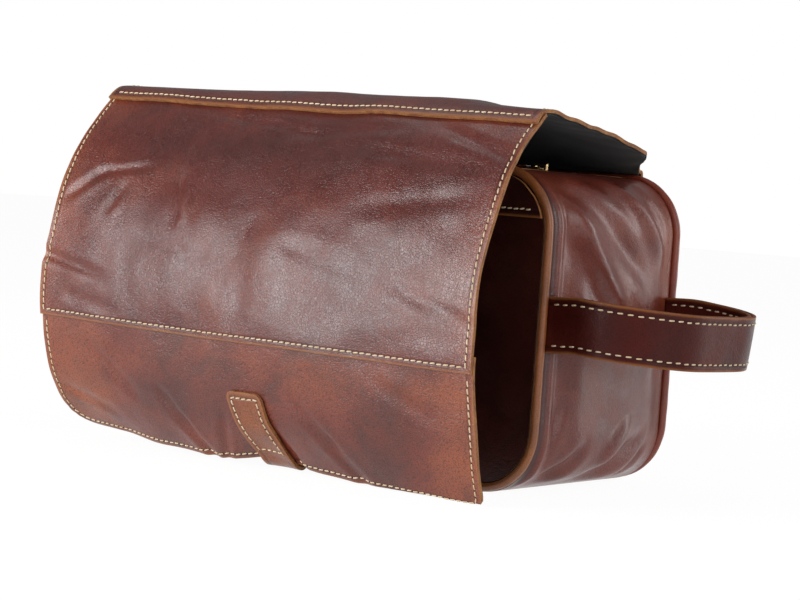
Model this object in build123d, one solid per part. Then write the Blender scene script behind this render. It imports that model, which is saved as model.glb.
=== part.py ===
from build123d import *
import math
import os

# A soft leather wash bag: a zipped pouch under a wide curved flap, with a carrying loop at one end.
# Millimetres. +X runs along the bag towards the loop, +Y to the back, +Z up.
# The origin is the middle of the base, on the surface that the bag stands on.

# ---- the pouch ----
body_length = 270.0       # over the two gusset sides
body_depth = 122.0        # over the front and back panels
body_height = 158.0       # base to the top of the gusset
corner_radius = 30.0      # of the gusset, seen from the front
leather = 1.8             # thickness of every leather piece
lining_cloth = 0.8        # thickness of the black lining
lay_gap = 0.3             # between pieces that lie on each other
piping_radius = 2.2
front_seam_height = 135.0 # lower edge of the upper front panel
seam_lap = 8.0            # how far one panel reaches under the next

# ---- the zip in the top ----
zip_well_length = 210.0   # the stretch of the top between the two gusset ends
zip_slot_half = 9.0       # middle of the bag to the leather edge beside the zip
tape_width = 12.0
tape_thickness = 0.7
mouth_half = 2.5          # middle of the bag to the tips of the parted teeth
tooth_depth = 2.4         # along Y
tooth_height = 2.5        # along Z
tooth_pitch = 3.0
teeth_length = 192.0
stop_length = 3.0
slider_length = 10.5
slider_half_width = 6.4
slider_plate = 1.2
slider_post_length = 4.0
slider_clearance = 0.3    # between the slider's plates and the teeth
slider_play = 0.8         # between the slider's post and the teeth
slider_from_stop = 3.2    # slider's end to the end stop when it is parked
bail_length = 7.6
bail_bar = 1.0
bail_opening = 2.5
puller_bar_radius = 0.7
puller_arm_length = 9.0
puller_half_width = 3.2
pull_tab_length = 20.0
pull_tab_width = 8.0
eye_wall = 0.45           # leather round the puller's far bar

# ---- the carrying loop ----
handle_width = 27.0
handle_height = 84.5      # middle of the strap above the ground
handle_reach = 64.0       # gusset side to the middle of the strap's far run
handle_corner = 38.0
handle_layer = 1.9
handle_clearance = 1.5     # gusset side to the round end of the swinging strap
handle_swing = 45.0       # degrees that the loop swings each way
handle_droop = 4.0        # degrees below level
handle_inset = 3.9        # gusset edge to the middle of the strap, along Y

# ---- the flap ----
flap_width = 272.0
flap_lining = 0.9
ridge_overhang = 15.0     # ridge in front of the front panel
ridge_rise = 26.5         # ridge above the gusset's top
root_rise = 3.6           # the flap's hinge line above the gusset's top
root_behind = 0.5         # the flap's hinge line behind the back panel
top_crown = 2.6           # how far the top panel bows up
flap_root_length = 216.0  # along the back seam
flap_taper_depth = 44.0   # back seam to where the flap has its whole width
flap_taper_radius = 30.0
hem_height = 6.5          # the flap's lowest edge above the ground
ridge_heading = 222.6     # degrees from +Y towards +Z, where the front leaves the ridge
front_turn = 62.0         # degrees that the wide arc of the front turns
hem_turn = 50.0           # degrees that the tight arc at the hem turns
hem_share = 0.32          # radius of the tight arc over that of the wide arc
seam_turn = 52.0          # where along the wide arc the lower seam lies
hem_corner = 9.0
fold_gap = 0.15           # each side of a fold line

# ---- the closing tab and its press stud ----
tab_width = 22.0
tab_on_front = 3.0        # degrees of the wide arc that the sewn tab covers
tab_gap = 0.2             # between the tab and the flap under it
tab_clear_of_ground = 1.5
tab_bend_radius = 8.0
tab_slope_radius = 12.0
tab_stand_height = 36.0   # top of the tab's free end
stud_height = 25.0
stud_radius = 6.5
stud_thickness = 1.8

# ---- worked out from the sizes above ----
half_length = body_length / 2
half_depth = body_depth / 2
piping_y = half_depth - leather / 2 - 0.1
gusset_half = piping_y - piping_radius - lay_gap
panel_drop = 0.1
panel_half = half_length - piping_radius + panel_drop - 0.2
piping_low = piping_radius + lay_gap
panel_low = piping_low + piping_radius + 0.2
panel_high = body_height - piping_radius - 0.2
panel_corner = corner_radius - piping_radius - 0.2
well_half = zip_well_length / 2
tape_top = body_height - leather - lay_gap
tape_low = tape_top - tape_thickness
tape_inner = mouth_half + tooth_depth + 0.1
teeth_middle = (tape_top + tape_low) / 2
teeth_low = teeth_middle - tooth_height / 2
teeth_high = teeth_middle + tooth_height / 2
teeth_half = teeth_length / 2
stop_middle = teeth_half + lay_gap + stop_length / 2
slider_x = stop_middle - stop_length / 2 - slider_from_stop - slider_length / 2
slider_top = teeth_high + slider_clearance + slider_plate
pivot_z = slider_top + bail_opening / 2
hinge_y = half_depth + root_behind
hinge_z = body_height + root_rise
ridge_y = -half_depth - ridge_overhang
ridge_z = body_height + ridge_rise
strap_y = gusset_half - handle_inset + handle_layer
swing_x = half_length + handle_clearance + handle_width / 2
far_x = half_length + handle_reach
tab_low = tab_clear_of_ground + leather / 2


def heading(degrees):
    """Unit step in the Y-Z plane."""
    return (math.cos(math.radians(degrees)), math.sin(math.radians(degrees)))


def chain_drop():
    """Fall from ridge to hem of a front whose wide arc has a radius of 1."""
    start = ridge_heading - 90.0
    turned = start + front_turn
    wide = heading(turned)[1] - heading(start)[1]
    tight = hem_share * (heading(turned + hem_turn)[1] - heading(turned)[1])
    return -(wide + tight)


front_radius = (ridge_z - hem_height) / chain_drop()
hem_radius = front_radius * hem_share
front_start = ridge_heading - 90.0
front_centre = (ridge_y - front_radius * heading(front_start)[0],
                ridge_z - front_radius * heading(front_start)[1])
arc_join = front_start + front_turn
hem_centre = (front_centre[0] + (front_radius - hem_radius) * heading(arc_join)[0],
              front_centre[1] + (front_radius - hem_radius) * heading(arc_join)[1])
hem_end = arc_join + hem_turn


def bar(low, high):
    """Box between two corners."""
    size = [high[i] - low[i] for i in range(3)]
    middle = [(high[i] + low[i]) / 2 for i in range(3)]
    return Pos(*middle) * Box(*size)


def outline(half_x, low_z, high_z, radius):
    """Rounded rectangle seen from the front."""
    tall = high_z - low_z
    return Pos(0, (low_z + high_z) / 2) * RectangleRounded(2 * half_x, tall, radius)


def front_plate(shape, y_from, y_to):
    """A front view pushed along Y from one depth to another."""
    placed = Plane((0, y_to, 0), x_dir=(1, 0, 0), z_dir=(0, -1, 0)) * shape
    return extrude(placed, amount=y_to - y_from, dir=(0, -1, 0))


def sector(centre, radius_in, radius_out, angle_from, angle_to):
    """Slice of a ring in the Y-Z plane."""
    turn = angle_to - angle_from
    outer = CenterArc(centre, radius_out, angle_from, turn)
    inner = CenterArc(centre, radius_in, angle_from, turn)
    edges = [outer, Line(outer @ 1, inner @ 1), inner, Line(inner @ 0, outer @ 0)]
    return make_face(Wire(edges))


def across(shape, width):
    """A side view pushed out to both sides of X = 0."""
    return extrude(Plane.YZ * shape, amount=width / 2, both=True)


def front_strip(depth_in, depth_out, turn_from, turn_to, width):
    """Part of the front's wide arc, between two depths under its outer surface."""
    shape = sector(front_centre, front_radius - depth_in, front_radius - depth_out,
                   front_start + turn_from, front_start + turn_to)
    return across(shape, width)


def hem_strip(depth_in, depth_out, width):
    """The tight arc that ends at the hem."""
    shape = sector(hem_centre, hem_radius - depth_in, hem_radius - depth_out, arc_join, hem_end)
    return across(shape, width)


def hem_point(depth):
    """Point of the hem's end face at a depth under the outer surface."""
    step = heading(hem_end)
    return (hem_centre[0] + (hem_radius - depth) * step[0],
            hem_centre[1] + (hem_radius - depth) * step[1])


# ---- pouch ----
def front_panel_lower():
    shape = outline(panel_half, panel_low, panel_high, panel_corner)
    plate = front_plate(shape, -half_depth, -half_depth + leather)
    top = front_seam_height + seam_lap
    return plate - bar((-half_length, -body_depth, top), (half_length, 0, 2 * body_height))


def front_panel_upper():
    shape = outline(panel_half, panel_low, panel_high, panel_corner)
    plate = front_plate(shape, -half_depth - leather, -half_depth)
    return plate - bar((-half_length, -body_depth, -1), (half_length, 0, front_seam_height))


def back_panel():
    shape = outline(panel_half, panel_low, panel_high, panel_corner)
    return front_plate(shape, half_depth - leather, half_depth)


def gusset():
    outer = outline(half_length, 0, body_height, corner_radius)
    inner = outline(half_length - leather, leather, body_height - leather, corner_radius - leather)
    ring = front_plate(outer - inner, -gusset_half, gusset_half)
    well = bar((-well_half, -body_depth, body_height - 2 * leather),
               (well_half, body_depth, body_height + leather))
    return ring - well


def piping(y):
    middle = half_length - panel_drop + 0.2
    high = body_height
    path = outline(middle, piping_low, high, corner_radius).wire()
    path = Plane((0, y, 0), x_dir=(1, 0, 0), z_dir=(0, -1, 0)) * path
    start = path @ 0
    section = Plane(origin=start, z_dir=path % 0) * Circle(piping_radius)
    return sweep(section, path)


def top_strip(side):
    """Leather beside the zip; side is -1 at the front and 1 at the back."""
    near, far = sorted((side * zip_slot_half, side * gusset_half))
    reach = well_half - lay_gap
    return bar((-reach, near, body_height - leather), (reach, far, body_height))


def zip_tape(side):
    near, far = sorted((side * tape_inner, side * (tape_inner + tape_width)))
    reach = well_half - 1
    return bar((-reach, near, tape_low), (reach, far, tape_top))


def zip_teeth(side):
    """One row of teeth on its cord, parted from the other row."""
    root_depth = tooth_depth / 2
    near, far = sorted((side * (mouth_half + root_depth), side * (mouth_half + tooth_depth)))
    row = bar((-teeth_half, near, teeth_low + 0.3), (teeth_half, far, teeth_high - 0.3))
    tip, root = sorted((side * mouth_half, side * (mouth_half + tooth_depth)))
    count = int(teeth_length / tooth_pitch)
    first = -tooth_pitch * (count - 1) / 2
    teeth = []
    for number in range(count):
        x = first + number * tooth_pitch
        teeth.append(bar((x - tooth_pitch / 4, tip, teeth_low), (x + tooth_pitch / 4, root, teeth_high)))
    return row.fuse(*teeth)


def zip_end_stops():
    stops = []
    for end in (-1, 1):
        for side in (-1, 1):
            near, far = sorted((side * mouth_half, side * (mouth_half + tooth_depth)))
            stops.append(bar((end * stop_middle - stop_length / 2, near, teeth_low),
                             (end * stop_middle + stop_length / 2, far, teeth_high)))
    return Compound(children=[Solid(stop.wrapped) for stop in stops])


def lining_plate(side):
    shape = outline(panel_half, panel_low, panel_high, panel_corner)
    near = half_depth - leather - lay_gap
    low, high = sorted((side * near, side * (near - lining_cloth)))
    return front_plate(shape, low, high)


def lining_gusset():
    inset = leather + lay_gap
    radius = corner_radius - inset
    outer = outline(half_length - inset, inset, body_height - inset, radius)
    inset = inset + lining_cloth
    inner = outline(half_length - inset, inset, body_height - inset, radius - lining_cloth)
    ring = front_plate(outer - inner, -gusset_half, gusset_half)
    slot = tape_inner + tape_width + lay_gap
    return ring - bar((-well_half, -slot, body_height / 2), (well_half, slot, body_height + leather))


def zip_slider():
    plate = Box(slider_length, 2 * slider_half_width, slider_plate)
    plate = fillet(plate.edges().filter_by(Axis.Z), slider_half_width * 0.4)
    low_top = teeth_low - slider_clearance
    upper = Pos(slider_x, 0, slider_top - slider_plate / 2) * plate
    lower = Pos(slider_x, 0, low_top - slider_plate / 2) * plate
    post_half = mouth_half - slider_play
    post_x = slider_x + slider_length / 2 - slider_post_length
    post = bar((post_x, -post_half, low_top - slider_plate / 2),
               (post_x + slider_post_length, post_half, slider_top - slider_plate / 2))
    bail = bar((slider_x - bail_length / 2, -bail_bar, slider_top - slider_plate / 2),
               (slider_x + bail_length / 2, bail_bar, slider_top + bail_opening + bail_bar))
    hole = bar((slider_x - bail_length / 2 + bail_bar, -2 * bail_bar, slider_top),
               (slider_x + bail_length / 2 - bail_bar, 2 * bail_bar, slider_top + bail_opening))
    return upper.fuse(lower, post, bail - hole)


def zip_puller():
    """Metal loop through the slider's bail, lying towards -X."""
    section = 2 * puller_bar_radius
    reach = 2 * puller_half_width
    pin = Rot(90, 0, 0) * Cylinder(puller_bar_radius, reach)
    pin = Pos(slider_x, 0, pivot_z) * pin
    far = Pos(slider_x - puller_arm_length, 0, pivot_z) * (Rot(90, 0, 0) * Cylinder(puller_bar_radius, reach))
    arms = []
    for side in (-1, 1):
        middle = (slider_x - puller_arm_length / 2, side * puller_half_width, pivot_z)
        arms.append(Pos(*middle) * Box(puller_arm_length + section, section, section))
    return pin.fuse(far, *arms)


def zip_pull_tab():
    """Leather strip folded round the puller's far bar."""
    hole = puller_bar_radius + 0.1
    eye_x = slider_x - puller_arm_length
    inside = puller_half_width - puller_bar_radius - 0.2
    tall = 2 * (hole + eye_wall)
    nose_width = 2 * inside
    nose_end = eye_x - puller_bar_radius - 1.0
    nose = bar((nose_end, -inside, pivot_z - tall / 2), (eye_x + hole + eye_wall, inside, pivot_z + tall / 2))
    strip = bar((eye_x - pull_tab_length, -pull_tab_width / 2, pivot_z - tall / 2),
                (nose_end, pull_tab_width / 2, pivot_z + tall / 2))
    bore = Pos(eye_x, 0, pivot_z) * (Rot(90, 0, 0) * Cylinder(hole, 2 * nose_width))
    strip = fillet(strip.edges().filter_by(Axis.Z).sort_by(Axis.X)[:2], pull_tab_width * 0.35)
    return (nose - bore).fuse(strip)


# ---- carrying loop ----
def loop_layer(inside, outside):
    """The whole strap, from gusset side to gusset side, between two offsets from its middle."""
    near_x = half_length + lay_gap

    def region(offset):
        x_far = far_x + offset
        half = strap_y + offset
        shape = Pos((near_x + x_far) / 2, 0) * Rectangle(x_far - near_x, 2 * half)
        far_corners = shape.vertices().sort_by(Axis.X)[-2:]
        return fillet(far_corners, handle_corner + offset)

    band = region(outside) - region(inside)
    placed = Pos(0, 0, handle_height - handle_width / 2) * band
    return extrude(placed, amount=handle_width)


def swing_disc(radius):
    return Pos(swing_x, 0, handle_height) * (Rot(90, 0, 0) * Cylinder(radius, 2 * body_depth))


def handle_layer_solid(inside, outside):
    """The part of the strap that swings, drooped about its swing line."""
    strap = loop_layer(inside, outside)
    keep = bar((swing_x, -body_depth, 0), (2 * far_x, body_depth, body_height))
    keep = keep.fuse(swing_disc(handle_width / 2))
    moving = strap & keep
    axis = Axis((swing_x, 0, handle_height), (0, 1, 0))
    return moving.rotate(axis, handle_droop)


def handle_end(side):
    """Fixed end of the strap, sewn into the seam; side is -1 at the front and 1 at the back."""
    strap = loop_layer(-handle_layer, handle_layer)
    near, far = sorted((0.0, side * body_depth))
    swept = handle_width / 2 * math.sin(math.radians(handle_swing + handle_droop))
    keep = bar((half_length, near, 0), (swing_x - swept - 2 * lay_gap, far, body_height))
    return (strap & keep) - swing_disc(handle_width / 2 + lay_gap)


# ---- flap ----
def ridge_cut(toward_front):
    """Block on one side of the mitre through the ridge."""
    back = heading(top_heading() + 180.0)
    front = heading(ridge_heading)
    inward = math.degrees(math.atan2(back[1] + front[1], back[0] + front[0]))
    size = body_depth * 2
    block = Box(2 * flap_width, size, size)
    shift = size / 2 - fold_gap
    block = Pos(0, -shift if toward_front else shift, 0) * block
    return Pos(0, ridge_y, ridge_z) * (Rot(inward + 90.0, 0, 0) * block)


def top_points():
    """Back seam, middle and ridge of the top panel's outer surface."""
    half_stack = (leather + flap_lining) / 2
    root = (hinge_y, hinge_z + half_stack)
    middle = ((hinge_y + ridge_y) / 2, (root[1] + ridge_z) / 2 + top_crown)
    return root, middle, (ridge_y, ridge_z)


def top_arc():
    return ThreePointArc(*top_points())


def top_heading():
    tangent = top_arc() % 1
    return math.degrees(math.atan2(tangent.Y, tangent.X)) % 360.0


def top_layer(depth_in, depth_out):
    """The flap's top between two depths, cut to its tapering plan and to the ridge's mitre."""
    arc = top_arc()
    centre = arc.arc_center
    root, middle, ridge = top_points()
    radius = arc.radius
    angle_from = math.degrees(math.atan2(root[1] - centre.Y, root[0] - centre.X))
    angle_to = math.degrees(math.atan2(ridge[1] - centre.Y, ridge[0] - centre.X))
    shape = sector((centre.X, centre.Y), radius - depth_in, radius - depth_out, angle_from, angle_to)
    slab = across(shape, flap_width)
    half = flap_width / 2
    taper_y = hinge_y - flap_taper_depth
    front_y = ridge_y - flap_taper_depth
    root_half = flap_root_length / 2
    back_y = hinge_y + 2 * leather
    corners = [(-half, front_y), (half, front_y), (half, taper_y), (root_half, back_y),
               (-root_half, back_y), (-half, taper_y)]
    plan = make_face(Polyline(*corners, close=True))
    bends = [v for v in plan.vertices() if abs(v.Y - taper_y) < 1e-6]
    plan = fillet(bends, flap_taper_radius)
    cutter = extrude(plan, amount=2 * body_height)
    return (slab & cutter) - ridge_cut(True)


def flap_middle_panel():
    return front_strip(leather, 0, 0, seam_turn, flap_width) - ridge_cut(False)


def flap_lining_upper():
    end = seam_turn - math.degrees((seam_lap + lay_gap) / front_radius)
    strip = front_strip(leather + flap_lining, leather, 0, end, flap_width - 2 * lay_gap)
    return strip - ridge_cut(False)


def round_hem_corners(strip, width):
    """Cut the two corners of a front strip at the hem to a radius."""
    y, z = hem_point(0)
    outward = heading(hem_end)
    reach = 8 * leather
    for side in (-1, 1):
        plane = Plane((side * width / 2, y, z), x_dir=(-side, 0, 0),
                      z_dir=(0, -side * outward[0], -side * outward[1]))
        middle = (hem_corner - reach) / 2
        corner = Pos(middle, middle) * Rectangle(hem_corner + reach, hem_corner + reach)
        corner = corner - Pos(hem_corner, hem_corner) * Circle(hem_corner)
        strip = strip - extrude(plane * corner, amount=reach, both=True)
    return strip


def flap_bottom_panel():
    start = seam_turn - math.degrees(seam_lap / front_radius)
    strip = front_strip(2 * leather, leather, start, front_turn, flap_width)
    strip = strip.fuse(hem_strip(2 * leather, leather, flap_width))
    return round_hem_corners(strip, flap_width)


def flap_lining_lower():
    width = flap_width - 2 * lay_gap
    depth = 2 * leather
    start = seam_turn - math.degrees(seam_lap / front_radius)
    strip = front_strip(depth + flap_lining, depth, start, front_turn, width)
    strip = strip.fuse(hem_strip(depth + flap_lining, depth, width))
    return round_hem_corners(strip, width)


# ---- closing tab ----
def closure_tab_upper():
    outside = -tab_gap
    inside = leather - tab_gap
    start = front_turn - tab_on_front
    strip = front_strip(inside, outside, start, front_turn, tab_width)
    return strip.fuse(hem_strip(inside, outside, tab_width))


def stud_face():
    """Depth at which the two halves of the press stud meet."""
    return -half_depth - stud_thickness


def tab_standing_y():
    """Middle of the leather of the tab's upright end."""
    return stud_face() - lay_gap - stud_thickness - leather / 2


def tab_bend_y():
    """Where the tab turns up towards the press stud."""
    return tab_standing_y() - tab_bend_radius


def tab_sweep(points, radius):
    """Strip of leather along a path in the Y-Z plane."""
    path = FilletPolyline(*[(0, y, z) for y, z in points], radius=radius)
    section = Plane(origin=path @ 0, x_dir=(1, 0, 0), z_dir=path % 0) * Rectangle(tab_width, leather)
    return sweep(section, path)


def closure_tab_run():
    """The tab's middle stretch, from the hem back along the ground."""
    start = hem_point(leather / 2 - tab_gap)
    step = heading(hem_end + 90.0)
    start = (start[0] + fold_gap * step[0], start[1] + fold_gap * step[1])
    run = (start[1] - tab_low) / -step[1]
    knee = (start[0] + run * step[0], tab_low)
    return tab_sweep([start, knee, (tab_bend_y() - fold_gap, tab_low)], tab_slope_radius)


def closure_tab_end():
    """Free end of the tab, turned up to the press stud."""
    corner = (tab_standing_y(), tab_low)
    start = (tab_bend_y() + fold_gap, tab_low)
    radius = tab_bend_radius - 2 * lay_gap
    strip = tab_sweep([start, corner, (tab_standing_y(), tab_stand_height)], radius)
    top = strip.edges().filter_by(Axis.Y).sort_by(Axis.Z)[-2:]
    return fillet(top, tab_width * 0.4)


def stud_half(y_from, y_to):
    disc = Rot(90, 0, 0) * Cylinder(stud_radius, y_to - y_from)
    return Pos(0, (y_from + y_to) / 2, stud_height) * disc


def build_all():
    pieces = {
        "front_panel_lower": front_panel_lower(),
        "front_panel_upper": front_panel_upper(),
        "back_panel": back_panel(),
        "gusset": gusset(),
        "front_piping": piping(-piping_y),
        "rear_piping": piping(piping_y),
        "top_strip_front": top_strip(-1),
        "top_strip_rear": top_strip(1),
        "zip_tape_front": zip_tape(-1),
        "zip_tape_rear": zip_tape(1),
        "zip_teeth_front": zip_teeth(-1),
        "zip_teeth_rear": zip_teeth(1),
        "zip_end_stops": zip_end_stops(),
        "zip_slider": zip_slider(),
        "zip_puller": zip_puller(),
        "zip_pull_tab": zip_pull_tab(),
        "lining_front": lining_plate(-1),
        "lining_back": lining_plate(1),
        "lining_gusset": lining_gusset(),
        "handle_end_front": handle_end(-1),
        "handle_end_rear": handle_end(1),
        "handle_outer": handle_layer_solid(0, handle_layer),
        "handle_inner": handle_layer_solid(-handle_layer, 0),
        "flap_top_panel": top_layer(leather, 0),
        "flap_lining_top": top_layer(leather + flap_lining, leather),
        "flap_middle_panel": flap_middle_panel(),
        "flap_lining_upper": flap_lining_upper(),
        "flap_bottom_panel": flap_bottom_panel(),
        "flap_lining_lower": flap_lining_lower(),
        "closure_tab_upper": closure_tab_upper(),
        "closure_tab_run": closure_tab_run(),
        "closure_tab_end": closure_tab_end(),
        "stud_on_tab": stud_half(stud_face() - lay_gap - stud_thickness, stud_face() - lay_gap),
        "stud_on_bag": stud_half(stud_face(), -half_depth),
    }
    os.makedirs("parts", exist_ok=True)
    for name, piece in pieces.items():
        export_step(piece, os.path.join("parts", name + ".step"))
    print("flap hinge y z", round(hinge_y, 3), round(hinge_z, 3))
    print("flap ridge y z", round(ridge_y, 3), round(ridge_z, 3))
    print("tab bend y z", round(tab_bend_y(), 3), round(tab_low + leather / 2, 3))
    print("handle swing x z", round(swing_x, 3), round(handle_height, 3))
    print("puller pivot x z", round(slider_x, 3), round(pivot_z, 3))
    print("slider travel", round(2 * slider_x, 3))


build_all()
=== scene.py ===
import math

import bmesh
import bpy
import numpy as np
from mathutils import Matrix, Vector, noise


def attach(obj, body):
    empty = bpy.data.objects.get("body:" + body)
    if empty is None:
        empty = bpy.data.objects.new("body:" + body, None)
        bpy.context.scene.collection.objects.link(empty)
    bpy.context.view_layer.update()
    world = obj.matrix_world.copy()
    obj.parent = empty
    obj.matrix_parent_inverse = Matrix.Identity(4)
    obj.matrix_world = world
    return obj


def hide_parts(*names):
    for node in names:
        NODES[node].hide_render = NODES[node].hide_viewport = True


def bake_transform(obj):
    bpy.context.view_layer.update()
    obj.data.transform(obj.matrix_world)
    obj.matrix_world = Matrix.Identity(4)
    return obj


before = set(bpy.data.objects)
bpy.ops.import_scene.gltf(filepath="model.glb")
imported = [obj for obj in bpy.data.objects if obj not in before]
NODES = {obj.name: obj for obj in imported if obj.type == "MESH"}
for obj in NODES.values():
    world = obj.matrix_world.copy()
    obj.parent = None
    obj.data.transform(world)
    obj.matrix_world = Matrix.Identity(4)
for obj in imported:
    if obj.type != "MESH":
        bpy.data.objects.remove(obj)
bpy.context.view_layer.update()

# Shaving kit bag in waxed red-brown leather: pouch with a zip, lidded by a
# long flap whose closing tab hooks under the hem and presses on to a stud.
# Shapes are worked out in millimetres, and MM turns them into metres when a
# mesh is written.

MM = 0.001

LEATHER = 1.8          # thickness of one leather ply
LINING = 0.85
HALF_FLAP = 136.0
RIDGE = {"left": (-78.0, 186.0), "middle": (-76.0, 184.5), "right": (-74.0, 184.0)}
# Which way the flap's front heads (degrees from +Y towards +Z), by the length
# from the ridge, at its left edge, along its middle and at its right edge.
LEFT_TURN = ((0, 223), (34, 232), (79, 256), (122, 270), (163, 291), (203, 320))
MIDDLE_TURN = ((0, 222.6), (161, 283.5), (203, 311))
RIGHT_TURN = ((0, 218), (48, 246), (96, 261), (142, 276), (203, 298))
SEAM_AT = 135.0        # where the middle panel ends, lapped over the bottom one
HEM_AT = 203.0
BACK_SEAM = (61.5, 162.95)
LEAN = 11.0            # how far the closing tab leans over by the hem
STITCH_IN = 3.0        # from a flap edge to its row of stitches
LAP = 7.5              # the top panel is lapped this far over the ridge
LAP_FROM = 4.0         # and starts to bend over this far behind it
LID_RUN = 139.2        # the lid's length, from the ridge to the back seam
BACK_LAP = 16.0        # the top panel turns down this far past that seam
FLOOR_GAP = 0.6        # the flap's hem stops this far above the floor
WALL_HALF = 57.5       # half the depth of the pouch's wall
PANEL_HALF = 132.7     # half the width of the front and back panels
FRONT_LAP = -62.9      # y of the upper front panel's face
POUCH_TOP = 158.0
MOUTH_HALF = 9.0       # half the gap between the strips beside the zip


# ---------------------------------------------------------------- small tools
def smooth(start, end, value):
    w = np.clip((value - start) / (end - start), 0.0, 1.0)
    return w * w * (3 - 2 * w)


def waves(a, b, size, seed, octaves=2):
    """Soft random waves of about that size over two lengths, from -1 to 1."""
    total = np.zeros(len(a))
    for k in range(octaves):
        step = size / 2.1 ** k
        layer = [noise.noise(Vector((p / step, q / step, seed + 7.3 * k)))
                 for p, q in zip(a, b)]
        total += np.array(layer) * 0.55 ** k
    return total


def creases(a, b, folds):
    """Height of the pressed folds: each is (a0, b0, a1, b1, half width, depth)."""
    height = np.zeros(len(a))
    for a0, b0, a1, b1, width, depth in folds:
        da, db = a1 - a0, b1 - b0
        length = math.hypot(da, db)
        t = ((a - a0) * da + (b - b0) * db) / length
        side = ((a - a0) * db - (b - b0) * da) / length
        fade = smooth(-0.25 * length, 0.25 * length, t)
        fade = fade * (1 - smooth(0.75 * length, 1.25 * length, t))
        q = (side / width) ** 2
        height -= depth * (1 - q) * np.exp(-q / 1.3) * fade
    return height


def spots(a, b, marks):
    """Soft round stains: each is (a, b, radius along a, radius along b, tone)."""
    tone = np.zeros(len(a))
    for a0, b0, ra, rb, amount in marks:
        tone += amount * np.exp(-((a - a0) / ra) ** 2 - ((b - b0) / rb) ** 2)
    return tone


def lines(start, end, step, fine_start=True, fine_end=True):
    """Positions for a grid's lines, closer together at raw edges."""
    fine = [0.0, 0.7, 1.6, 2.7, 3.8, 5.0, 6.4]
    head = [start + f for f in fine] if fine_start else [start]
    tail = [end - f for f in reversed(fine)] if fine_end else [end]
    count = max(2, int(round((tail[0] - head[-1]) / step)))
    body = list(np.linspace(head[-1], tail[0], count + 1))[1:-1]
    return np.array(head + body + tail)


def points_of(mesh):
    co = np.empty(len(mesh.vertices) * 3)
    mesh.vertices.foreach_get("co", co)
    return co.reshape(-1, 3)


def write_value(mesh, name, values):
    layer = mesh.attributes.get(name) or mesh.attributes.new(name, "FLOAT", "POINT")
    layer.data.foreach_set("value", np.asarray(values, np.float32))


def only(piece):
    bpy.ops.object.select_all(action="DESELECT")
    piece.select_set(True)
    bpy.context.view_layer.objects.active = piece


def edit_all(piece, *steps):
    """Runs each step in edit mode, with the whole piece selected."""
    only(piece)
    bpy.ops.object.mode_set(mode="EDIT")
    for step in steps:
        bpy.ops.mesh.select_all(action="SELECT")
        step()
    bpy.ops.object.mode_set(mode="OBJECT")


def mark(piece, edge, tone):
    """Stores each point's distance from a raw edge, and how light its colour is: dye
    and stains, and on some pieces painted shade.
    """
    write_value(piece.data, "edge", np.clip(edge, 0, 20))
    write_value(piece.data, "tone", tone)


def finish_with(piece, kind, **settings):
    only(piece)
    modifier = piece.modifiers.new(kind.lower(), kind)
    for key, value in settings.items():
        setattr(modifier, key, value)
    bpy.ops.object.modifier_apply(modifier=modifier.name)


def lay_sheet(name, columns, rows, surface, turn=False):
    """A grid laid on surface(u, v); its UV map is its own flat length and width."""
    bpy.ops.object.select_all(action="DESELECT")
    bpy.ops.mesh.primitive_grid_add(x_subdivisions=len(columns) - 1,
                                    y_subdivisions=len(rows) - 1, size=2)
    piece = bpy.context.object
    piece.name = piece.data.name = name
    mesh = piece.data
    flat = points_of(mesh)
    i = np.rint((flat[:, 0] + 1) / 2 * (len(columns) - 1)).astype(int)
    j = np.rint((flat[:, 1] + 1) / 2 * (len(rows) - 1)).astype(int)
    u, v = np.asarray(columns)[i], np.asarray(rows)[j]
    mesh.vertices.foreach_set("co", (surface(u, v) * MM).ravel())
    corner = np.empty(len(mesh.loops), int)
    mesh.loops.foreach_get("vertex_index", corner)
    mesh.uv_layers.active.data.foreach_set(
        "uv", (np.stack([u[corner], v[corner]], 1) * MM).ravel())
    if turn:
        edit_all(piece, bpy.ops.mesh.flip_normals)
    return piece, u, v


def follow(p, legs, r, straights, arcs, way=-1):
    """Places and outward directions along straight legs and arcs of radius r.

    A straight leg is (start, heading, outwards), an arc is (centre, the angle
    it starts at in degrees), and way says which way the arcs turn.
    """
    stops = np.concatenate([[0], np.cumsum(legs)])
    a, b, out_a, out_b = (np.zeros(len(p)) for _ in range(4))
    for k in range(len(legs)):
        here = ((k == 0) | (p >= stops[k])) \
            & ((k == len(legs) - 1) | (p <= stops[k + 1]))
        d = p[here] - stops[k]
        if k in arcs:
            centre_a, centre_b, begin = arcs[k]
            angle = np.radians(begin + way * d / r * 180 / math.pi)
            out_a[here], out_b[here] = np.cos(angle), np.sin(angle)
            a[here] = centre_a + r * out_a[here]
            b[here] = centre_b + r * out_b[here]
        else:
            (start_a, start_b), (step_a, step_b), outwards = straights[k]
            a[here], b[here] = start_a + step_a * d, start_b + step_b * d
            out_a[here], out_b[here] = outwards
    return a, b, out_a, out_b


def thicken(piece, thickness, finishes, bevel=0.35):
    """Gives a laid sheet its ply, on its inner side, and eases its raw edges."""
    for finish in finishes:
        piece.data.materials.append(finish)
    finish_with(piece, "SOLIDIFY", thickness=thickness * MM, offset=-1.0,
                use_rim=True, material_offset=2, material_offset_rim=1)
    if bevel:
        finish_with(piece, "BEVEL", width=bevel * MM, segments=2,
                    limit_method="ANGLE", angle_limit=math.radians(50))
    only(piece)
    bpy.ops.object.shade_smooth_by_angle(angle=math.radians(50))


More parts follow.
